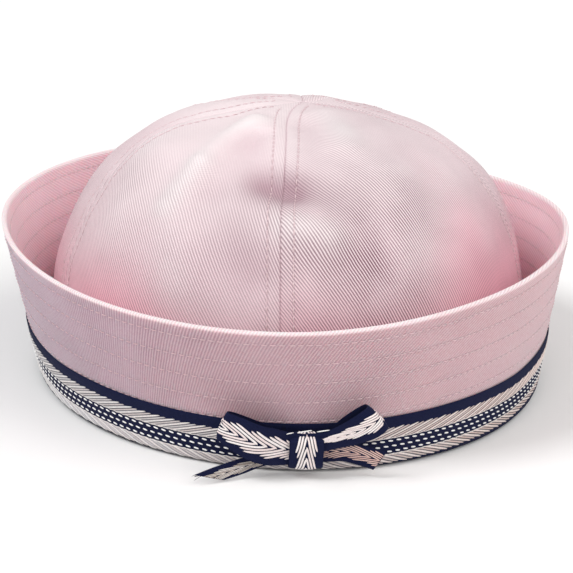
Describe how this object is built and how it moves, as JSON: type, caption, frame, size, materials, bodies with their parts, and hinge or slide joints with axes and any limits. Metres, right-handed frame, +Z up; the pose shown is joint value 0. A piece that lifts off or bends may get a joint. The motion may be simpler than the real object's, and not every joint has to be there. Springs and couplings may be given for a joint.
{
  "type": "sailor cap",
  "caption": "Round cloth cap with a gored dome crown, a turned-up flared brim, a striped ribbon band and a small front bow.",
  "frame": {"origin": "centre of the head opening, in the plane that the cap rests on", "axes": "+Z up through the crown, -Y towards the front with the bow, +X to the right of the cap seen from the front"},
  "size_m": [0.2131, 0.2235, 0.1005],
  "materials": {
    "crown_twill": "matt cotton twill",
    "brim_twill": "matt cotton twill",
    "band_ribbon": "woven ribbon",
    "bow_ribbon": "woven ribbon"
  },
  "bodies": {
    "root": {"crown_panel_front_right": "crown_twill", "crown_panel_right": "crown_twill", "crown_panel_back_right": "crown_twill", "crown_panel_back_left": "crown_twill", "crown_panel_left": "crown_twill", "crown_panel_front_left": "crown_twill", "brim": "brim_twill", "ribbon_band": "band_ribbon", "bow_knot": "bow_ribbon", "bow_loop_left": "bow_ribbon", "bow_loop_right": "bow_ribbon", "bow_tail_left": "bow_ribbon", "bow_tail_right": "bow_ribbon"}
  },
  "joints": []
}
